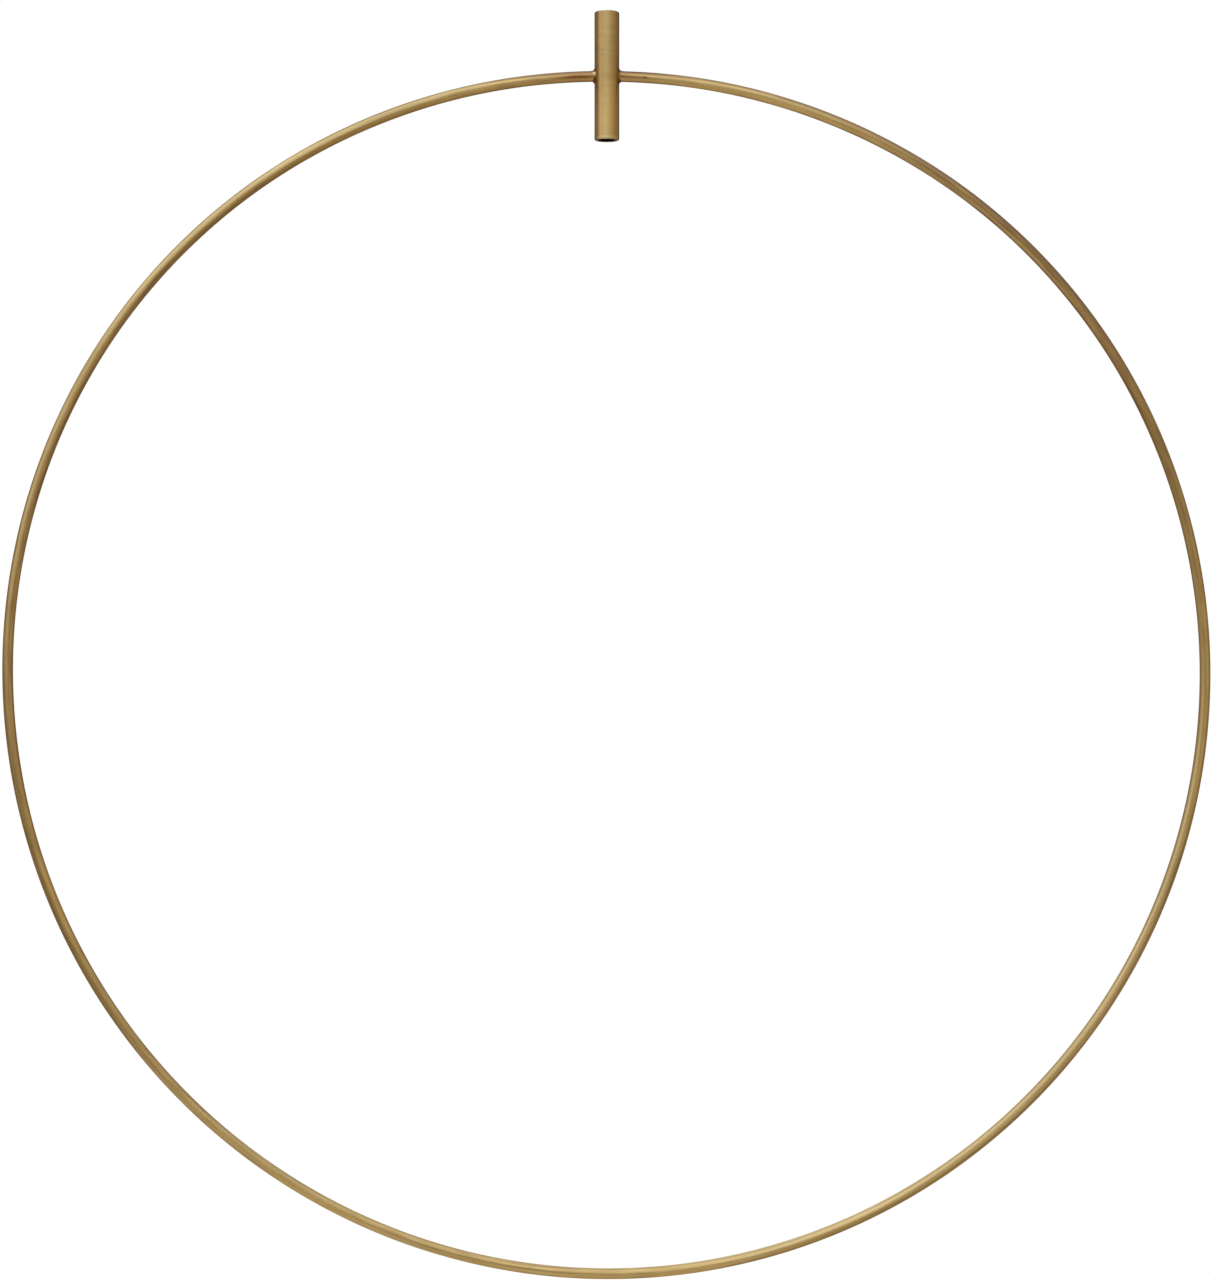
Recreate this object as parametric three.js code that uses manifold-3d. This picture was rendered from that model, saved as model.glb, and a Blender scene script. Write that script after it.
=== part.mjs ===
// A hanging wreath frame: one round brass rod rolled into a hoop, with both ends seated in the
// cross-drilled wall of an upright tube, just short of its bore, and brazed there. The frame hangs
// on a cord or cable that runs through the tube.
//
// Units are millimetres. The origin is the centre of the tube's top opening, where the cord comes
// out. +Z is up along the tube, the hoop lies in the XZ plane, and -Y is the front.

import * as THREE from 'three';
import { mergeVertices } from 'three/addons/utils/BufferGeometryUtils.js';
import Module from 'manifold-3d';

// Driving dimensions.
const HOOP_OUTER_DIAMETER = 680;
const ROD_DIAMETER = 6;
const TUBE_DIAMETER = 14;
const TUBE_BORE = 10;
const TUBE_LENGTH = 72;
const OUTER_CHAMFER = 0.8;
const BORE_CHAMFER = 0.4;
const ROD_END_SETBACK = 0.3;
const BRAZE_RADIUS = 1.6;
const CLEARANCE = 0.3;

// How finely round shapes are divided.
const ROD_SIDES = 24;
const HOOP_STEPS = 180;
const TUBE_SIDES = 64;
const DRILL_SIDES = 24;
const BRAZE_STEPS_ROUND = 36;
const BRAZE_STEPS_ACROSS = 6;

// Worked out from the driving dimensions.
const ROD_RADIUS = ROD_DIAMETER / 2;
const TUBE_RADIUS = TUBE_DIAMETER / 2;
const BORE_RADIUS = TUBE_BORE / 2;
const HOOP_RADIUS = HOOP_OUTER_DIAMETER / 2 - ROD_RADIUS;
const JOINT_HEIGHT = -TUBE_LENGTH / 2;
const HOOP_CENTRE_HEIGHT = JOINT_HEIGHT - HOOP_RADIUS;
const ROD_END_X = BORE_RADIUS + ROD_END_SETBACK;

const finish = (color, roughness) => new THREE.MeshStandardMaterial({ color, roughness, metalness: 1 });
const brushedBrass = finish(0xb89f69, 0.38);
const brazedBrass = finish(0xbfa266, 0.3);

const wasm = await Module();
wasm.setup();

// A closed three.js geometry as a manifold-3d solid.
function toSolid(geometry) {
  const bare = geometry.clone();
  bare.deleteAttribute('normal');
  bare.deleteAttribute('uv');
  const merged = mergeVertices(bare);
  return new wasm.Manifold(
    new wasm.Mesh({
      numProp: 3,
      vertProperties: merged.attributes.position.array,
      triVerts: new Uint32Array(merged.index.array),
    }),
  );
}

// A manifold-3d solid as a three.js geometry.
function toGeometry(solid) {
  const { vertProperties, triVerts } = solid.getMesh();
  const geometry = new THREE.BufferGeometry();
  geometry.setAttribute('position', new THREE.BufferAttribute(vertProperties, 3));
  geometry.setIndex(new THREE.BufferAttribute(triVerts, 1));
  geometry.computeVertexNormals();
  return geometry;
}

// The rod's centreline: a circle that is open only where its ends sit in the tube's wall.
class HoopLine extends THREE.Curve {
  getPoint(t, target = new THREE.Vector3()) {
    const halfGap = Math.asin(ROD_END_X / HOOP_RADIUS);
    const angle = Math.PI / 2 + halfGap + t * 2 * (Math.PI - halfGap);
    return target.set(
      HOOP_RADIUS * Math.cos(angle),
      0,
      HOOP_CENTRE_HEIGHT + HOOP_RADIUS * Math.sin(angle),
    );
  }
}

function hoopGeometry() {
  const corners = new THREE.EllipseCurve(0, 0, ROD_RADIUS, ROD_RADIUS).getPoints(ROD_SIDES);
  return new THREE.ExtrudeGeometry(new THREE.Shape(corners), {
    steps: HOOP_STEPS,
    extrudePath: new HoopLine(),
  });
}

// The tube, turned and bored, with its edges broken and one hole drilled across both walls.
function tubeGeometry() {
  const faceOuter = TUBE_RADIUS - OUTER_CHAMFER;
  const faceInner = BORE_RADIUS + BORE_CHAMFER;
  const profile = [
    [TUBE_RADIUS, OUTER_CHAMFER],
    [TUBE_RADIUS, TUBE_LENGTH - OUTER_CHAMFER],
    [faceOuter, TUBE_LENGTH],
    [faceInner, TUBE_LENGTH],
    [BORE_RADIUS, TUBE_LENGTH - BORE_CHAMFER],
    [BORE_RADIUS, BORE_CHAMFER],
    [faceInner, 0],
    [faceOuter, 0],
    [TUBE_RADIUS, OUTER_CHAMFER],
  ].map(([radius, height]) => new THREE.Vector2(radius, height));
  const turned = new THREE.LatheGeometry(profile, TUBE_SIDES);
  turned.rotateX(Math.PI / 2);
  turned.translate(0, 0, -TUBE_LENGTH);

  const holeRadius = ROD_RADIUS + CLEARANCE;
  const drill = new THREE.CylinderGeometry(holeRadius, holeRadius, 2 * TUBE_DIAMETER, DRILL_SIDES);
  drill.rotateZ(Math.PI / 2);
  drill.translate(0, 0, JOINT_HEIGHT);
  return toGeometry(toSolid(turned).subtract(toSolid(drill)));
}

// The bead of brazing metal round one end of the rod. Its outside is the surface a ball of
// BRAZE_RADIUS leaves as it rolls round the corner between rod and tube; inside it follows both.
function brazeGeometry() {
  const rodSide = ROD_RADIUS + CLEARANCE;
  const tubeSide = TUBE_RADIUS + CLEARANCE;
  const cornersAcross = BRAZE_STEPS_ACROSS + 2;
  const positions = [];
  const indices = [];
  for (let i = 0; i < BRAZE_STEPS_ROUND; i += 1) {
    const turn = (2 * Math.PI * i) / BRAZE_STEPS_ROUND;
    const outward = new THREE.Vector3(0, Math.cos(turn), Math.sin(turn));

    const corner = outward.clone().multiplyScalar(rodSide);
    corner.x = Math.sqrt(tubeSide ** 2 - corner.y ** 2);

    const ball = outward.clone().multiplyScalar(rodSide + BRAZE_RADIUS);
    ball.x = Math.sqrt((tubeSide + BRAZE_RADIUS) ** 2 - ball.y ** 2);

    const toRod = outward.clone().negate();
    const toTube = new THREE.Vector3(-ball.x, -ball.y, 0).normalize();
    const sweep = toRod.angleTo(toTube);
    positions.push(...corner.toArray());
    for (let j = 0; j <= BRAZE_STEPS_ACROSS; j += 1) {
      const part = (sweep * j) / BRAZE_STEPS_ACROSS;
      const direction = new THREE.Vector3()
        .addScaledVector(toRod, Math.sin(sweep - part))
        .addScaledVector(toTube, Math.sin(part))
        .divideScalar(Math.sin(sweep));
      positions.push(...ball.clone().addScaledVector(direction, BRAZE_RADIUS).toArray());
    }
    const ring = i * cornersAcross;
    const nextRing = ((i + 1) % BRAZE_STEPS_ROUND) * cornersAcross;
    for (let j = 0; j < cornersAcross; j += 1) {
      const next = (j + 1) % cornersAcross;
      indices.push(ring + j, ring + next, nextRing + j);
      indices.push(ring + next, nextRing + next, nextRing + j);
    }
  }
  const geometry = new THREE.BufferGeometry();
  geometry.setAttribute('position', new THREE.Float32BufferAttribute(positions, 3));
  geometry.setIndex(indices);
  geometry.computeVertexNormals();
  return geometry;
}

function piece(name, geometry, material) {
  const mesh = new THREE.Mesh(geometry, material);
  mesh.name = name;
  return mesh;
}

const wreathFrame = new THREE.Group();
wreathFrame.add(piece('hanging_tube', tubeGeometry(), brushedBrass));
wreathFrame.add(piece('hoop', hoopGeometry(), brushedBrass));

const rightBraze = piece('braze_right', brazeGeometry(), brazedBrass);
rightBraze.position.z = JOINT_HEIGHT;
const leftBraze = piece('braze_left', brazeGeometry(), brazedBrass);
leftBraze.position.z = JOINT_HEIGHT;
leftBraze.rotation.z = Math.PI;
wreathFrame.add(rightBraze, leftBraze);

export default wreathFrame;
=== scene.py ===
"""A wreath frame: a brass rod hoop with its ends brazed into an upright tube.

This script makes the finished surfaces, the studio light, the floor and the camera, round the CAD
frame. Everything is in metres in the CAD frame: +Z is up along the tube, the hoop lies in the XZ
plane, and -Y is the front.
"""

import math

import bpy
import numpy as np
from mathutils import Matrix, Vector


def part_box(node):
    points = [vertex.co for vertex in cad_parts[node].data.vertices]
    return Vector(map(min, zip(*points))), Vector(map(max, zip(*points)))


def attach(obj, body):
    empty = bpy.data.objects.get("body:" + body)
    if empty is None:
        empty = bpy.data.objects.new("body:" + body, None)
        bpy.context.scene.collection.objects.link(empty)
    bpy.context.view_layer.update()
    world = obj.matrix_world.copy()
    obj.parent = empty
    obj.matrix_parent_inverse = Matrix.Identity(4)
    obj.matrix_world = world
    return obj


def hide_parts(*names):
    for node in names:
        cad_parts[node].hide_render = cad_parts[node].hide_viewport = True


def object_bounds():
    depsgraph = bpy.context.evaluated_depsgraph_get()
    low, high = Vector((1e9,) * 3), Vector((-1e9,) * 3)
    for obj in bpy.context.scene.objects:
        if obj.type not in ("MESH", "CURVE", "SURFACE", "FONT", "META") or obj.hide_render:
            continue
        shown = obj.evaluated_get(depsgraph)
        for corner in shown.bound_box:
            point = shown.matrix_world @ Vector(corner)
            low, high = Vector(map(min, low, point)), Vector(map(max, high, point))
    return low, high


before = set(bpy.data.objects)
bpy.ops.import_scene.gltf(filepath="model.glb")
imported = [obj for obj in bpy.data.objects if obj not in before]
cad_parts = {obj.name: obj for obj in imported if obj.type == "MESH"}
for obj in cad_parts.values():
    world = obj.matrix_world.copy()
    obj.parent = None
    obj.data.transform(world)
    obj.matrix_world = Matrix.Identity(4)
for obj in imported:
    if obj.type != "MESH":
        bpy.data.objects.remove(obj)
cad_low, cad_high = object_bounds()

# ---------------------------------------------------------------- sizes

MM = 0.001

tube_low, tube_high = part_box("hanging_tube")
hoop_low, hoop_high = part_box("hoop")

TUBE_RADIUS = (tube_high.x - tube_low.x) / 2
TUBE_TOP = tube_high.z
TUBE_FOOT = tube_low.z
JOINT_Z = (TUBE_TOP + TUBE_FOOT) / 2
ROD_RADIUS = (hoop_high.y - hoop_low.y) / 2
HOOP_RADIUS = (JOINT_Z - hoop_low.z - ROD_RADIUS) / 2

BORE_RADIUS = 5.0 * MM
EDGE_ROUNDING = 0.8 * MM
BORE_EDGE_ROUNDING = 0.4 * MM
HOLE_CLEARANCE = 0.05 * MM
HOLE_RADIUS = ROD_RADIUS + HOLE_CLEARANCE
ROD_END_SETBACK = 0.3 * MM
ROD_END_X = BORE_RADIUS + ROD_END_SETBACK
FILLET_RADIUS = 1.9 * MM
FILLET_SINK = 0.012 * MM
FILLET_ROOT_DEPTH = 0.3 * MM

# The rolled hoop isn't quite a circle: it is a little oval, a little flat beside the tube and a
# little to the left of it, and it dips where its ends go in. FLAT_MEAN and FLAT_LIFT keep the flat
# from making the hoop smaller and lower.
OVAL = 1.1 * MM
OVAL_LEAN = math.radians(-15)
FLAT_DEPTH = 3.6 * MM
FLAT_WIDTH = math.radians(40)
FLAT_LIFT = 1.15 * MM
FLAT_MEAN = 0.74 * MM
DIP_DEPTH = 0.25 * MM
DIP_WIDTH = math.radians(8)
TO_LEFT = 0.28 * MM

# How finely the surfaces are divided.
TUBE_COLUMNS = 160
WINDOW_COLUMNS = 40
WINDOW_ROWS = 20
WINDOW_HALF_HEIGHT = 5.5 * MM
WINDOW_HALF_TURN = math.pi * WINDOW_COLUMNS / TUBE_COLUMNS
WINDOW_RINGS = 8
WALL_ROWS = 14
EDGE_ROWS = 6
END_FACE_RINGS = 5
HOLE_WALL_RINGS = 4
ROD_END_RINGS = 4
HOOP_STEPS = 720
HOOP_SIDES = 36
FILLET_STEPS = 96
FILLET_ROWS = 10

# Corners whose places round to the same step of this size are one point.
SAME_POINT = 1e-7

# The eight numbers of a corner.
PLACE = slice(0, 3)
NORMAL = slice(3, 6)
UV = slice(6, 8)


# ---------------------------------------------------------------- meshes

class Skin:
    """Grids of quads, with an exact normal and UV at every corner, that join into one closed mesh."""

    def __init__(self):
        self.quads = []

    def grid(self, points, normals, uvs):
        """Adds a grid. Each argument is an array of rows by columns by components."""
        packed = np.concatenate([points, normals, uvs], axis=2)
        corners = [packed[:-1, :-1], packed[:-1, 1:], packed[1:, 1:], packed[1:, :-1]]
        self.quads.append(np.stack(corners, axis=2).reshape(-1, 4, UV.stop))

    def piece(self, name, material):
        """The finished object, with shared points merged and every face turned to its normals."""
        quads = np.concatenate(self.quads)
        first_diagonal = quads[:, 2, PLACE] - quads[:, 0, PLACE]
        second_diagonal = quads[:, 3, PLACE] - quads[:, 1, PLACE]
        facing = np.cross(first_diagonal, second_diagonal)
        backward = np.einsum("ij,ij->i", facing, quads[:, :, NORMAL].sum(axis=1)) < 0
        quads[backward] = quads[backward][:, ::-1]

        places = quads[:, :, PLACE].reshape(-1, 3)
        keys = np.round(places / SAME_POINT).astype(np.int64)
        _, first, index = np.unique(keys, axis=0, return_index=True, return_inverse=True)
        index = index.reshape(-1, 4)

        faces, normals, uvs = [], [], []
        for corners, ids in zip(quads, index.tolist()):
            kept = [i for i in range(4) if ids[i] != ids[i - 1]]
            if len(kept) < 3:
                continue
            faces.append([ids[i] for i in kept])
            normals.extend(corners[kept, NORMAL].tolist())
            uvs.extend(corners[kept, UV].ravel().tolist())

        mesh = bpy.data.meshes.new(name)
        mesh.from_pydata(places[first].tolist(), [], faces)
        mesh.uv_layers.new(name="grain_uv").data.foreach_set("uv", uvs)
        mesh.polygons.foreach_set("use_smooth", [True] * len(faces))
        mesh.normals_split_custom_set(normals)
        mesh.materials.append(material)
        piece = bpy.data.objects.new(name, mesh)
        bpy.context.scene.collection.objects.link(piece)
        return piece


def stack(*components):
    """Arrays of one shape, or numbers, as one array of vectors."""
    return np.stack(np.broadcast_arrays(*components), axis=-1).astype(float)


def turned_grid(skin, stretch, angles):
    """Sweeps part of a turned profile round Z. stretch is rows of radius, z, normal r, normal z, u."""
    radius, z, out, up, u = (column[:, None] for column in np.array(stretch).T)
    turn = np.asarray(angles)[None, :]
    skin.grid(
        stack(radius * np.cos(turn), radius * np.sin(turn), z + 0 * turn),
        stack(out * np.cos(turn), out * np.sin(turn), up + 0 * turn),
        stack(u + 0 * turn, TUBE_RADIUS * turn + 0 * u),
    )


def window_outline():
    """The square outline of the wall round a cross hole: points from -1 to 1, across and up."""
    side = np.linspace(-1, 1, WINDOW_COLUMNS + 1)
    rise = np.linspace(-1, 1, WINDOW_ROWS + 1)
    outline = [(s, -1) for s in side[:-1]] + [(1, r) for r in rise[:-1]]
    outline += [(-s, 1) for s in side[:-1]] + [(-1, -r) for r in rise]
    return np.array(outline)


def hole_angles():
    """Angles round a cross hole, one for each point of a window's outline."""
    across, up = (window_outline() * [TUBE_RADIUS * WINDOW_HALF_TURN, WINDOW_HALF_HEIGHT]).T
    return np.unwrap(np.arctan2(up, across))


def drilled_window(skin, radius, facing, window_turn):
    """The part of a wall round one cross hole: rings that go from the hole to a square outline."""
    edge = window_outline() * [WINDOW_HALF_TURN, WINDOW_HALF_HEIGHT]
    round_hole = hole_angles()
    hole_turn = np.arcsin(HOLE_RADIUS * np.cos(round_hole) / radius)
    hole = np.stack([hole_turn, HOLE_RADIUS * np.sin(round_hole)], axis=1)

    part = np.linspace(0, 1, WINDOW_RINGS)[:, None, None]
    turn, z = np.moveaxis(hole + part * (edge - hole), 2, 0)
    turn = turn + window_turn
    skin.grid(
        stack(radius * np.cos(turn), radius * np.sin(turn), JOINT_Z + z),
        stack(facing * np.cos(turn), facing * np.sin(turn), 0 * z),
        stack(-facing * z, TUBE_RADIUS * turn),
    )


def hole_wall(skin, side):
    """The drilled wall of one cross hole, from the outside of the tube to its bore."""
    angles = hole_angles()
    y, z = HOLE_RADIUS * np.cos(angles), HOLE_RADIUS * np.sin(angles)
    outer = np.sqrt(TUBE_RADIUS**2 - y**2)
    inner = np.sqrt(BORE_RADIUS**2 - y**2)
    x = outer + np.linspace(0, 1, HOLE_WALL_RINGS)[:, None] * (inner - outer)
    skin.grid(
        stack(side * x, side * y, JOINT_Z + z),
        stack(0 * x, -side * np.cos(angles), -np.sin(angles)),
        stack(x, HOLE_RADIUS * angles),
    )


def make_tube(material):
    """The turned tube, with rounded edges and a hole drilled across both walls for the rod."""
    skin = Skin()
    full_turn = np.linspace(0, 2 * math.pi, TUBE_COLUMNS + 1)
    half_window = WINDOW_COLUMNS // 2
    half_way = TUBE_COLUMNS // 2
    behind = full_turn[half_window:half_way - half_window + 1]
    in_front = full_turn[half_way + half_window:TUBE_COLUMNS - half_window + 1]
    quarter_turn = math.pi / 2
    half_length = (TUBE_TOP - TUBE_FOOT) / 2
    outer = TUBE_RADIUS - EDGE_ROUNDING
    inner = BORE_RADIUS + BORE_EDGE_ROUNDING

    def wall(radius, facing, edge):
        """A straight wall, plain above and below the band that holds the cross holes."""
        top, foot = TUBE_TOP - edge, TUBE_FOOT + edge
        window_top = JOINT_Z + WINDOW_HALF_HEIGHT
        window_foot = JOINT_Z - WINDOW_HALF_HEIGHT
        for high, low, rows, angle_sets in (
            (top, window_top, WALL_ROWS, [full_turn]),
            (window_top, window_foot, WINDOW_ROWS, [behind, in_front]),
            (window_foot, foot, WALL_ROWS, [full_turn]),
        ):
            levels = np.linspace(high, low, rows + 1)
            stretch = [(radius, z, facing, 0, facing * (JOINT_Z - z)) for z in levels]
            for angles in angle_sets:
                turned_grid(skin, stretch, angles)
        for window_turn in (0, math.pi):
            drilled_window(skin, radius, facing, window_turn)

    def rounded(centre_radius, centre_z, rounding, start, u):
        """A quarter-round edge. start is the profile angle at which it begins."""
        angles = start - np.linspace(0, quarter_turn, EDGE_ROWS + 1)
        turned_grid(skin, [
            (centre_radius + rounding * math.cos(a), centre_z + rounding * math.sin(a),
             math.cos(a), math.sin(a), u + rounding * (start - a))
            for a in angles
        ], full_turn)

    def end_face(z, facing, u):
        """A flat end ring between the two rounded edges."""
        rings = np.linspace(outer, inner, END_FACE_RINGS)
        turned_grid(skin, [(r, z, 0, facing, u + facing * (r - TUBE_RADIUS)) for r in rings], full_turn)

    wall(TUBE_RADIUS, 1, EDGE_ROUNDING)
    wall(BORE_RADIUS, -1, BORE_EDGE_ROUNDING)
    rounded(outer, TUBE_FOOT + EDGE_ROUNDING, EDGE_ROUNDING, 0, half_length)
    end_face(TUBE_FOOT, -1, half_length)
    rounded(inner, TUBE_FOOT + BORE_EDGE_ROUNDING, BORE_EDGE_ROUNDING, -quarter_turn, half_length)
    rounded(inner, TUBE_TOP - BORE_EDGE_ROUNDING, BORE_EDGE_ROUNDING, -2 * quarter_turn, -half_length)
    end_face(TUBE_TOP, 1, -half_length)
    rounded(outer, TUBE_TOP - EDGE_ROUNDING, EDGE_ROUNDING, -3 * quarter_turn, -half_length)
    for side in (1, -1):
        hole_wall(skin, side)
    return skin.piece("brushed_tube", material)


def hoop_swell(turn):
    """How far the rod's centreline is outside a true circle, at a clockwise angle from the top."""
    from_top = (turn + math.pi) % (2 * math.pi) - math.pi
    flat = FLAT_DEPTH * np.exp(-((from_top / FLAT_WIDTH) ** 2))
    dip = DIP_DEPTH * np.exp(-((from_top / DIP_WIDTH) ** 2))
    shifted = FLAT_LIFT * np.cos(turn) - TO_LEFT * np.sin(turn)
    return FLAT_MEAN + shifted + OVAL * np.cos(2 * (turn - OVAL_LEAN)) - flat - dip


HOOP_CENTRE_Z = JOINT_Z - HOOP_RADIUS - hoop_swell(0.0)


def make_hoop(material):
    """The rolled rod, swept round the hoop, with a flat end inside each wall of the tube."""
    skin = Skin()
    gap = math.asin(ROD_END_X / HOOP_RADIUS)
    turn = np.linspace(gap, 2 * math.pi - gap, HOOP_STEPS + 1)
    reach = HOOP_RADIUS + hoop_swell(turn)
    line = stack(reach * np.sin(turn), 0 * turn, HOOP_CENTRE_Z + reach * np.cos(turn))
    along = np.gradient(line, turn, axis=0)
    along /= np.linalg.norm(along, axis=1, keepdims=True)
    outward = np.cross(along, [0, 1, 0])
    round_rod = np.linspace(0, 2 * math.pi, HOOP_SIDES + 1)
    normal = (
        outward[:, None] * np.cos(round_rod)[None, :, None]
        + np.array([0, 1, 0]) * np.sin(round_rod)[None, :, None]
    )
    skin.grid(
        line[:, None] + ROD_RADIUS * normal,
        normal,
        stack(ROD_RADIUS * round_rod[None, :], HOOP_RADIUS * turn[:, None]),
    )
    for end, facing in ((0, -1), (-1, 1)):
        rings = np.linspace(0, ROD_RADIUS, ROD_END_RINGS)[:, None, None]
        skin.grid(
            line[end] + rings * normal[end][None],
            np.broadcast_to(facing * along[end], (ROD_END_RINGS, HOOP_SIDES + 1, 3)),
            stack(rings[:, :, 0], ROD_RADIUS * round_rod[None, :]),
        )
    hoop = skin.piece("drawn_rod_hoop", material)
    add_grain(hoop.data)
    return hoop


def add_grain(mesh):
    """Stores where each point is in the rod: outward and backward from its centreline, and along it."""
    places = np.empty(len(mesh.vertices) * 3)
    mesh.vertices.foreach_get("co", places)
    x, y, z = places.reshape(-1, 3).T
    turn = np.arctan2(x, z - HOOP_CENTRE_Z) % (2 * math.pi)
    outward = np.hypot(x, z - HOOP_CENTRE_Z) - HOOP_RADIUS - hoop_swell(turn)
    grain = mesh.attributes.new("grain", "FLOAT_VECTOR", "POINT")
    grain.data.foreach_set("vector", stack(outward, y, HOOP_RADIUS * turn).ravel())


def make_fillet(name, side, material):
    """The filed brazing metal round one joint, as a ball of FILLET_RADIUS would roll round it."""
    skin = Skin()
    turn = np.linspace(0, 2 * math.pi, FILLET_STEPS + 1)[None, :]
    outward = stack(0 * turn, np.cos(turn), np.sin(turn))
    ball_y = (ROD_RADIUS + FILLET_RADIUS - FILLET_SINK) * np.cos(turn)
    ball_z = (ROD_RADIUS + FILLET_RADIUS - FILLET_SINK) * np.sin(turn)
    ball_x = np.sqrt((TUBE_RADIUS + FILLET_RADIUS - FILLET_SINK) ** 2 - ball_y**2)
    ball = stack(ball_x, ball_y, ball_z)
    to_rod = -outward
    to_tube = -stack(ball_x, ball_y, 0 * ball_z)
    to_tube /= np.linalg.norm(to_tube, axis=2, keepdims=True)
    sweep = np.arccos(np.sum(to_rod * to_tube, axis=2, keepdims=True))
    part = np.linspace(0, 1, FILLET_ROWS + 1)[:, None, None] * sweep
    direction = (to_rod * np.sin(sweep - part) + to_tube * np.sin(part)) / np.sin(sweep)
    surface = ball + FILLET_RADIUS * direction

    # Two hidden strips join the bead's edges to a ring inside the metal, which closes its mesh.
    root_y = (ROD_RADIUS - FILLET_ROOT_DEPTH) * np.cos(turn)
    root_z = (ROD_RADIUS - FILLET_ROOT_DEPTH) * np.sin(turn)
    root_x = np.sqrt((TUBE_RADIUS - FILLET_ROOT_DEPTH) ** 2 - root_y**2)
    root = stack(root_x, root_y, root_z)
    inward = -outward - [1, 0, 0]

    mirror = np.array([side, 1, 1])
    joint = np.array([0, 0, JOINT_Z])
    u = np.linspace(0, 1, FILLET_ROWS + 1)[:, None] * FILLET_RADIUS * sweep[0, 0, 0]
    v = ROD_RADIUS * turn
    skin.grid(surface * mirror + joint, -direction * mirror, stack(u + 0 * v, v + 0 * u))
    for edge in (surface[:1], surface[-1:]):
        hidden = np.concatenate([edge, root])
        skin.grid(
            hidden * mirror + joint,
            np.broadcast_to(inward * mirror, hidden.shape),
            stack(np.array([[0], [FILLET_RADIUS]]) + 0 * v, v + np.zeros((2, 1))),
        )
    return skin.piece(name, material)


# ---------------------------------------------------------------- materials

class Shader:
    """A node material, built by short calls that each return an output socket."""

    def __init__(self, name):
        self.material = bpy.data.materials.new(name)
        self.material.use_nodes = True
        self.tree = self.material.node_tree
        self.tree.nodes.clear()

    def node(self, kind, inputs=None, **settings):
        node = self.tree.nodes.new(kind)
        for key, value in settings.items():
            setattr(node, key, value)
        for key, value in (inputs or {}).items():
            if isinstance(value, bpy.types.NodeSocket):
                self.tree.links.new(value, node.inputs[key])
            else:
                node.inputs[key].default_value = value
        return node

    def math(self, operation, *values, clamp=False):
        inputs = dict(enumerate(values))
        return self.node("ShaderNodeMath", inputs, operation=operation, use_clamp=clamp).outputs[0]

    def scaled(self, vector, factors):
        inputs = {0: vector, 1: factors}
        return self.node("ShaderNodeVectorMath", inputs, operation="MULTIPLY").outputs[0]

    def noise(self, vector, detail=2.0, roughness=0.5):
        """Noise from 0 to 1, about 0.5."""
        inputs = {"Vector": vector, "Scale": 1.0, "Detail": detail, "Roughness": roughness}
        return self.node("ShaderNodeTexNoise", inputs).outputs["Fac"]

    def total(self, start, *parts):
        """start plus each part's value times its weight. A part is a (value, weight) pair."""
        for value, weight in parts:
            inputs = {0: value, 1: weight, 2: start}
            start = self.node("ShaderNodeMath", inputs, operation="MULTIPLY_ADD").outputs[0]
        return start

    def ramp(self, value, low, high, to_low=0.0, to_high=1.0):
        """A smooth step from to_low at low to to_high at high."""
        inputs = {"Value": value, "From Min": low, "From Max": high, "To Min": to_low, "To Max": to_high}
        kind = {"interpolation_type": "SMOOTHSTEP"}
        return self.node("ShaderNodeMapRange", inputs, **kind).outputs["Result"]

    def near(self, value, place, reach, peak=1.0):
        """A smooth hump: peak where value is place, and 0 once it is further than reach away."""
        away = self.math("ABSOLUTE", self.math("SUBTRACT", value, place))
        return self.ramp(away, 0.0, reach, peak, 0.0)

    def marks(self, turn, across, marks):
        """The sum of soft marks on the rod, each given as described at PATINA_AND_PAINTED_LIGHT."""
        marked = 0.0
        for clock, length, place, width, amount in marks:
            offset = self.math("SUBTRACT", turn, math.radians(clock))
            away = self.math("ABSOLUTE", self.math("WRAP", offset, math.pi, -math.pi))
            lengthwise = self.ramp(away, 0.0, math.radians(length), amount, 0.0)
            marked = self.total(marked, (lengthwise, self.near(across, place, width)))
        return marked

    def grey(self, shade):
        """The grey whose red, green and blue are all shade."""
        return self.node("ShaderNodeCombineColor", {0: shade, 1: shade, 2: shade}).outputs[0]

    def mix(self, factor, first, second, blend="MIX"):
        """second blended over first. factor says how much of it, from 0 to 1.

        The node's inputs 6 and 7 are its two colours, and its output 2 is the blended one.
        """
        node = self.node("ShaderNodeMix", data_type="RGBA", blend_type=blend)
        for index, value in ((0, factor), (6, first), (7, second)):
            if isinstance(value, bpy.types.NodeSocket):
                self.tree.links.new(value, node.inputs[index])
            else:
                node.inputs[index].default_value = value
        return node.outputs[2]

    def finish(self, color, roughness, height, anisotropy, bump_depth):
        """Brass: metal whose highlight is stretched across its grain, with bump from height."""
        tangent = self.node("ShaderNodeTangent", direction_type="UV_MAP", uv_map="grain_uv")
        bump = self.node("ShaderNodeBump", {"Height": height, "Distance": bump_depth, "Strength": 1.0})
        metal = self.node("ShaderNodeBsdfPrincipled", {
            "Base Color": color,
            "Metallic": 1.0,
            "Roughness": roughness,
            "Anisotropic": anisotropy,
            "Tangent": tangent.outputs[0],
            "Normal": bump.outputs[0],
        })
        output = self.node("ShaderNodeOutputMaterial")
        self.tree.links.new(metal.outputs[0], output.inputs[0])
        return self.material


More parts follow.
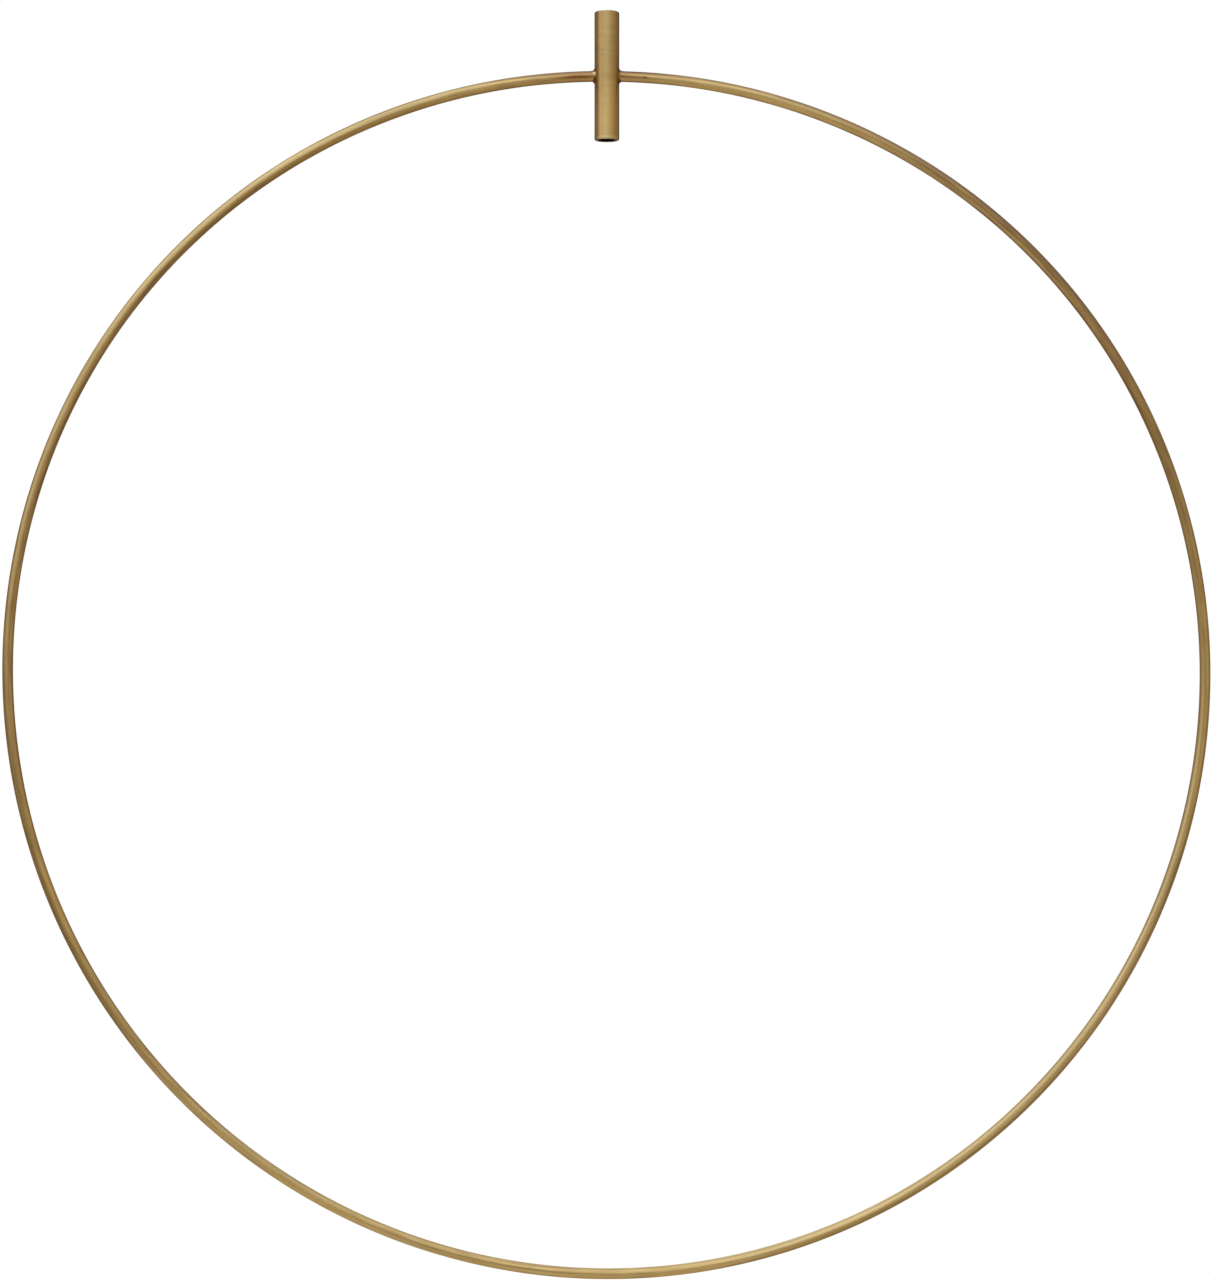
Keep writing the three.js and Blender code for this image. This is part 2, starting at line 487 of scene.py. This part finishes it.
BRASS = (0.75, 0.545, 0.235, 1)
PALE_BRASS = (0.87, 0.665, 0.335, 1)
# Tarnish, also used to paint shade on the rod.
TARNISH_AND_SHADE = (0.50, 0.325, 0.165, 1)
# Heat tint, also used to paint shade beside the rod on the tube.
HEAT_TINT_AND_SHADE = (0.48, 0.265, 0.10, 1)
# Stain brown, also used to paint a dark reflection on the rod.
STAIN_AND_REFLECTION_BROWN = (0.33, 0.150, 0.048, 1)
# Dark brown for painted shade on the rod and the brazing.
SHADE_BROWN = (0.19, 0.090, 0.032, 1)
# Painted light on the tube: a highlight on the rim above its foot, a pale reflection on its bare end
# faces, and black shade in its bore.
PAINTED_RIM_HIGHLIGHT = (0.98, 0.77, 0.39, 1)
BARE_AND_REFLECTION_PALE = (0.98, 0.90, 0.74, 1)
PAINTED_BORE_SHADE = (0.010, 0.009, 0.010, 1)

# How fine each pattern of noise is, in waves per metre. The tube's third number runs across its
# brush marks, and the rod's third number runs along the rod.
TUBE_SCRATCHES = (90, 90, 7000)
TUBE_LINES = (60, 60, 1500)
TUBE_SMUDGES = (110, 110, 320)
TUBE_CLOUDS = (60, 60, 60)
ROD_SCRATCHES = (3500, 3500, 25)
ROD_STREAKS = (900, 900, 12)
ROD_PATCHES = (420, 420, 60)
ROD_CLOUDS = (60, 60, 22)
FILLET_MARKS = (2500, 2500, 2500)
FILLET_CLOUDS = (400, 400, 400)

# Where the rod is paler or darker than plain brass: partly pale and tarnished patina, partly painted
# highlights and painted shade. Each mark has its clock angle and its reach along the rod, in degrees
# round the hoop, then its place and reach across the rod, from -1 at the inner edge to 1 at the outer
# edge, and its amount: 1 is pale brass and -1 is the full tarnish brown.
# A mark that reaches ALL_ROUND is nearly even across the rod.
ALL_ROUND = 9
PATINA_AND_PAINTED_LIGHT = [
    (50, 50, 0.0, ALL_ROUND, -0.85),
    (138, 50, 0.0, ALL_ROUND, 0.90),
    (15, 16, 0.0, 0.9, 0.60),
    (42, 30, -0.5, 0.6, 0.40),
    (28, 44, 0.9, 0.9, -1.40),
    (105, 62, -0.9, 0.7, 1.80),
    (133, 42, -0.5, 0.6, 1.70),
    (182, 18, -0.9, 0.5, -0.40),
    (180, 18, 0.9, 0.6, -0.60),
    (194, 22, 0.4, 0.6, 0.60),
    (215, 14, -0.8, 0.5, 0.70),
    (226, 22, 0.9, 0.5, -0.70),
    (270, 26, -0.4, 0.5, -0.60),
    (288, 16, 0.85, 0.6, -0.90),
    (308, 50, -0.6, 0.6, -0.80),
    (328, 50, 0.3, 0.75, 1.40),
    (338, 18, 0.9, 0.55, -1.40),
    (353, 10, 0.0, ALL_ROUND, -0.60),
    (357, 10, 0.75, 0.75, -2.00),
    (4, 11, 0.75, 0.75, -2.00),
]

# Brown stains from the brazing heat, and a painted dark reflection along the middle of the rod beside
# the tube, given in the same way. Amount 1 is plain brown.
STAINS_AND_DARK_REFLECTION = [
    (357.2, 3.4, -0.08, 0.55, 1.00),
    (1.9, 2.6, -0.08, 0.50, 0.55),
    (1.2, 0.8, -0.05, 0.40, 0.60),
    (356.8, 4.0, -0.50, 0.45, 0.40),
    (357.0, 5.0, -0.95, 0.5, 0.35),
    (3.0, 5.0, -0.95, 0.5, 0.35),
    (3.66, 0.34, -0.15, 0.35, 0.90),
]

# Painted shade along the outer side, given in the same way. Amount 1 is the full dark brown.
PAINTED_SHADE_MARKS = [
    (38.0, 22.0, 0.85, 0.35, 0.34),
    (354.0, 12.0, 0.9, 0.65, 0.10),
    (358.0, 5.0, 0.70, 0.45, 0.46),
    (3.2, 4.5, 0.75, 0.55, 0.76),
]


def tube_material():
    """Brass brushed round the tube, painted brown as shade beside the rod, with bare ends painted pale
    as a reflection and a bore painted black as shade.
    """
    shader = Shader("brushed_brass_tube")
    place = shader.node("ShaderNodeTexCoord").outputs["Object"]
    x, y, z = shader.node("ShaderNodeSeparateXYZ", {0: place}).outputs
    flat = shader.scaled(place, (1, 1, 0))
    radius = shader.node("ShaderNodeVectorMath", {0: flat}, operation="LENGTH").outputs["Value"]
    height = shader.math("ADD", z, radius)
    brush = shader.node("ShaderNodeCombineXYZ", {0: x, 1: y, 2: height}).outputs[0]

    scratches = shader.noise(shader.scaled(brush, TUBE_SCRATCHES), detail=1)
    lines = shader.noise(shader.scaled(brush, TUBE_LINES), detail=3, roughness=0.65)
    smudges = shader.noise(shader.scaled(brush, TUBE_SMUDGES), detail=3)
    clouds = shader.noise(shader.scaled(brush, TUBE_CLOUDS), detail=2)

    # Tarnish in the smudges, heat tint round the joint, and painted shade in heat-tint brown beside the
    # rod on both sides.
    tarnish = shader.ramp(smudges, low=0.5, high=0.8, to_high=0.35)
    heat = shader.near(z, place=JOINT_Z, reach=19 * MM, peak=0.22)
    joint_shade_centre_x = 0.5 * MM
    off_centre = shader.math("ABSOLUTE", shader.math("SUBTRACT", x, joint_shade_centre_x))
    at_sides = shader.ramp(off_centre, low=4.3 * MM, high=6.0 * MM)
    joint_shade = shader.math("MULTIPLY", at_sides, shader.near(z, place=JOINT_Z, reach=11 * MM, peak=0.45))
    color = shader.mix(tarnish, BRASS, TARNISH_AND_SHADE)
    color = shader.mix(shader.math("ADD", heat, joint_shade), color, HEAT_TINT_AND_SHADE)

    # The shade of the brush marks, with painted light that makes the tube brighter below the joint than
    # above it.
    painted_light_below = shader.ramp(z, JOINT_Z - 12 * MM, JOINT_Z + 14 * MM, to_low=0.12, to_high=-0.02)
    shade = shader.total(painted_light_below, (lines, 0.34), (smudges, 0.34), (clouds, 0.20), (1.0, 0.57))
    color = shader.mix(1.0, color, shader.grey(shade), "MULTIPLY")

    # A painted highlight on a rim above the foot, bare metal painted pale as a reflection on both end
    # faces, and the bore painted black as shade.
    to_top = shader.math("SUBTRACT", TUBE_TOP, z)
    to_foot = shader.math("SUBTRACT", z, TUBE_FOOT)
    from_end = shader.math("MINIMUM", to_top, to_foot)
    rim = shader.ramp(to_foot, low=0.8 * MM, high=2.2 * MM, to_low=1.0, to_high=0.0)
    bare_and_reflection = shader.ramp(from_end, low=0.05 * MM, high=0.5 * MM, to_low=1.0, to_high=0.0)
    from_bore = shader.math("SUBTRACT", radius, BORE_RADIUS)
    bore_shade = shader.ramp(from_bore, low=0.02 * MM, high=0.25 * MM, to_low=1.0, to_high=0.0)
    color = shader.mix(rim, color, PAINTED_RIM_HIGHLIGHT)
    color = shader.mix(bare_and_reflection, color, BARE_AND_REFLECTION_PALE)
    color = shader.mix(bore_shade, color, PAINTED_BORE_SHADE)

    rough = shader.total(0.345, (lines, 0.07), (bare_and_reflection, 0.45))
    relief = shader.total(0.0, (scratches, 0.35), (lines, 0.65))
    return shader.finish(color, rough, relief, anisotropy=0.92, bump_depth=0.012 * MM)


def rod_material():
    """Satin brass drawn along the rod, streaked, tarnished and painted with highlights and shade, and by
    the tube polished, heat-stained and painted dark as shade and reflection.
    """
    shader = Shader("satin_drawn_brass_rod")
    grain = shader.node("ShaderNodeAttribute", attribute_name="grain").outputs["Vector"]
    outward, _, along = shader.node("ShaderNodeSeparateXYZ", {0: grain}).outputs
    turn = shader.math("DIVIDE", along, HOOP_RADIUS)
    across = shader.math("DIVIDE", outward, ROD_RADIUS)
    to_far_end = shader.math("SUBTRACT", 2 * math.pi * HOOP_RADIUS, along)
    from_tube = shader.math("MINIMUM", along, to_far_end)

    scratches = shader.noise(shader.scaled(grain, ROD_SCRATCHES), detail=2)
    streaks = shader.noise(shader.scaled(grain, ROD_STREAKS), detail=3)
    patches = shader.noise(shader.scaled(grain, ROD_PATCHES), detail=3)
    clouds = shader.noise(shader.scaled(grain, ROD_CLOUDS), detail=2)

    # Patches run from tarnished at -1 to pale at 1, and the marks, partly painted highlights and shade,
    # are added to them.
    patina_and_light = shader.total(shader.marks(turn, across, PATINA_AND_PAINTED_LIGHT), (patches, 2.0), (1.0, -1.0))
    pale_and_highlight = shader.math("MAXIMUM", patina_and_light, 0.0)
    tarnished_and_shaded = shader.math("MULTIPLY", patina_and_light, -1.0, clamp=True)
    heat = shader.ramp(from_tube, low=8 * MM, high=40 * MM, to_low=0.25, to_high=0.0)
    color = shader.mix(pale_and_highlight, BRASS, PALE_BRASS)
    color = shader.mix(tarnished_and_shaded, color, TARNISH_AND_SHADE)
    color = shader.mix(heat, color, HEAT_TINT_AND_SHADE)

    shade = shader.total(0.0, (streaks, 0.90), (scratches, 0.40), (clouds, 0.20), (1.0, 0.25))
    color = shader.mix(1.0, color, shader.grey(shade), "MULTIPLY")
    # Brazing stains, and a painted dark reflection along the middle of the rod beside the tube.
    color = shader.mix(shader.marks(turn, across, STAINS_AND_DARK_REFLECTION), color, STAIN_AND_REFLECTION_BROWN)
    # Painted shade along the outer side of the rod.
    color = shader.mix(shader.marks(turn, across, PAINTED_SHADE_MARKS), color, SHADE_BROWN)

    polish = shader.ramp(from_tube, low=18 * MM, high=38 * MM, to_low=1.0, to_high=0.0)
    rough = shader.total(0.36, (scratches, 0.07), (polish, -0.13))
    relief = shader.total(0.0, (streaks, 0.5), (scratches, 0.5))
    return shader.finish(color, rough, relief, anisotropy=0.81, bump_depth=0.008 * MM)


def fillet_material():
    """Brazing metal, filed round and polished, clouded with heat tint and painted dark brown as shade in
    places.
    """
    shader = Shader("polished_brazing_metal")
    place = shader.node("ShaderNodeTexCoord").outputs["Object"]
    marks = shader.noise(shader.scaled(place, FILLET_MARKS), detail=2)
    clouds = shader.noise(shader.scaled(place, FILLET_CLOUDS), detail=2)
    x, _, z = shader.node("ShaderNodeSeparateXYZ", {0: place}).outputs

    # Painted shade in dark brown: on the lower half of the left bead, all over the right one, and along
    # both top edges.
    downward = shader.math("SUBTRACT", JOINT_Z, z)
    down_and_right = shader.total(downward, (x, 0.5))
    painted_shade_low_right = shader.ramp(down_and_right, low=-4.6 * MM, high=-3.0 * MM, to_high=0.80)
    painted_shade_top = shader.ramp(downward, low=-2.3 * MM, high=-1.5 * MM, to_low=0.85, to_high=0.0)
    tint = shader.ramp(clouds, low=0.4, high=0.7, to_high=0.6)
    color = shader.mix(tint, PALE_BRASS, HEAT_TINT_AND_SHADE)
    color = shader.mix(shader.math("MAXIMUM", painted_shade_low_right, painted_shade_top), color, SHADE_BROWN)
    rough = shader.total(0.16, (marks, 0.10))
    return shader.finish(color, rough, marks, anisotropy=0.3, bump_depth=0.006 * MM)


# ---------------------------------------------------------------- studio

FLOOR_DROP = 0.1
FLOOR_RADIUS = 8.0
FLOOR_SIDES = 96
CAMERA_DISTANCE = 1.686
VIEW_HEIGHT = 0.720
CAMERA_SENSOR = 36.0
CAMERA_SHIFT = (0.0009, 0.0263)
CAMERA_CLIP_START = 0.01


def studio_ambient():
    """Soft light from every side but the front, and plain white where the camera sees the room."""
    x, y, z = range(3)
    walls = (0.27, 0.20, 0.14)
    behind = (0.02, 0.02, 0.04)
    ceiling = (0.70, 0.71, 0.73)
    ground = (0.30, 0.23, 0.09)
    room = {(x, 1): walls, (x, -1): walls, (y, 1): behind, (z, 1): ceiling, (z, -1): ground}
    world = bpy.data.worlds.new("soft_room")
    bpy.context.scene.world = world
    world.use_nodes = True
    tree = world.node_tree
    tree.nodes.clear()

    def node(kind, *inputs, **settings):
        made = tree.nodes.new(kind)
        for key, value in settings.items():
            setattr(made, key, value)
        for index, value in enumerate(inputs):
            if isinstance(value, bpy.types.NodeSocket):
                tree.links.new(value, made.inputs[index])
            elif value is not None:
                made.inputs[index].default_value = value
        return made

    direction = node("ShaderNodeTexCoord").outputs["Generated"]
    parts = node("ShaderNodeSeparateXYZ", direction).outputs
    total = None
    for (axis, sign), color in room.items():
        toward = node("ShaderNodeMath", parts[axis], float(sign), operation="MULTIPLY", use_clamp=True)
        weight = node("ShaderNodeMath", toward.outputs[0], 2.0, operation="POWER")
        light = node("ShaderNodeVectorMath", color, operation="SCALE")
        tree.links.new(weight.outputs[0], light.inputs["Scale"])
        if total is None:
            total = light.outputs[0]
        else:
            total = node("ShaderNodeVectorMath", total, light.outputs[0], operation="ADD").outputs[0]
    lit = node("ShaderNodeBackground", total)
    seen = node("ShaderNodeBackground", (1, 1, 1, 1))
    path = node("ShaderNodeLightPath")
    both = node("ShaderNodeMixShader", path.outputs["Is Camera Ray"], lit.outputs[0], seen.outputs[0])
    output = node("ShaderNodeOutputWorld")
    tree.links.new(both.outputs[0], output.inputs["Surface"])


def softbox(name, clock, tilt, distance, across, along, radiance):
    """A rectangular soft light that faces the hoop's centre.

    clock is its bearing clockwise from the top as seen from the front, tilt is its angle from the
    line towards the camera, and across and along are its sides in that line's plane and square to it.
    """
    clock, tilt = math.radians(clock), math.radians(tilt)
    outward = Vector((math.sin(clock), 0, math.cos(clock)))
    to_light = Vector((0, -math.cos(tilt), 0)) + math.sin(tilt) * outward
    side = Vector((math.cos(clock), 0, -math.sin(clock)))
    light = bpy.data.lights.new(name, "AREA")
    light.shape = "RECTANGLE"
    light.size = along
    light.size_y = across
    brightness = max(radiance)
    light.energy = math.pi * across * along * brightness
    light.color = [part / brightness for part in radiance]
    lamp = bpy.data.objects.new(name, light)
    bpy.context.scene.collection.objects.link(lamp)
    up = to_light.cross(side)
    turned = [(side[row], up[row], to_light[row]) for row in range(3)]
    lamp.matrix_world = Matrix(turned).to_4x4()
    lamp.location = Vector((0, 0, HOOP_CENTRE_Z)) + distance * to_light
    lamp.visible_camera = False


def make_floor():
    """A plain white floor under the hoop, seen only from above and left out of reflections."""
    floor_z = cad_low.z - FLOOR_DROP
    mesh = bpy.data.meshes.new("floor")
    turns = [2 * math.pi * i / FLOOR_SIDES for i in range(FLOOR_SIDES)]
    rim = [(FLOOR_RADIUS * math.cos(turn), FLOOR_RADIUS * math.sin(turn), floor_z) for turn in turns]
    mesh.from_pydata(rim, [], [range(FLOOR_SIDES)])
    material = bpy.data.materials.new("white_floor")
    material.use_nodes = True
    tree = material.node_tree
    tree.nodes.clear()
    side = tree.nodes.new("ShaderNodeNewGeometry")
    white = tree.nodes.new("ShaderNodeEmission")
    clear = tree.nodes.new("ShaderNodeBsdfTransparent")
    mix = tree.nodes.new("ShaderNodeMixShader")
    output = tree.nodes.new("ShaderNodeOutputMaterial")
    tree.links.new(side.outputs["Backfacing"], mix.inputs[0])
    tree.links.new(white.outputs[0], mix.inputs[1])
    tree.links.new(clear.outputs[0], mix.inputs[2])
    tree.links.new(mix.outputs[0], output.inputs[0])
    mesh.materials.append(material)
    floor = bpy.data.objects.new("floor", mesh)
    bpy.context.scene.collection.objects.link(floor)
    floor.visible_diffuse = False
    floor.visible_glossy = False
    floor.visible_shadow = False


def make_camera():
    """A camera square to the hoop, level with its centre, and shifted to frame the tube as well."""
    camera = bpy.data.cameras.new("camera")
    camera.sensor_width = CAMERA_SENSOR
    camera.lens = CAMERA_SENSOR * CAMERA_DISTANCE / VIEW_HEIGHT
    camera.shift_x, camera.shift_y = CAMERA_SHIFT
    camera.clip_start = CAMERA_CLIP_START
    holder = bpy.data.objects.new("camera", camera)
    bpy.context.scene.collection.objects.link(holder)
    holder.location = (0, -CAMERA_DISTANCE, HOOP_CENTRE_Z)
    holder.rotation_euler = (math.pi / 2, 0, 0)
    bpy.context.scene.camera = holder


# ---------------------------------------------------------------- assembly

brazing = fillet_material()
pieces = [
    (make_tube(tube_material()), "tube_brass", "hanging_tube"),
    (make_hoop(rod_material()), "rod_brass", "hoop"),
    (make_fillet("fillet_left", -1, brazing), "brazing_brass", "braze_left"),
    (make_fillet("fillet_right", 1, brazing), "brazing_brass", "braze_right"),
]
for piece, slot, node in pieces:
    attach(piece, "root")
    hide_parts(node)

studio_ambient()
softbox("key", clock=330, tilt=50, distance=1.5, across=2.3, along=3.2, radiance=(0.52, 0.55, 0.56))
softbox("low", clock=200, tilt=80, distance=0.8, across=2.0, along=1.0, radiance=(0.30, 0.30, 0.31))
softbox("fill", clock=110, tilt=15, distance=1.7, across=2.8, along=2.8, radiance=(0.30, 0.27, 0.22))
softbox("side", clock=80, tilt=55, distance=1.9, across=1.8, along=1.4, radiance=(0.18, 0.17, 0.07))
softbox("back", clock=340, tilt=160, distance=1.8, across=1.0, along=0.8, radiance=(0.80, 0.78, 0.75))
make_floor()
make_camera()
bpy.context.scene.view_settings.view_transform = "Standard"
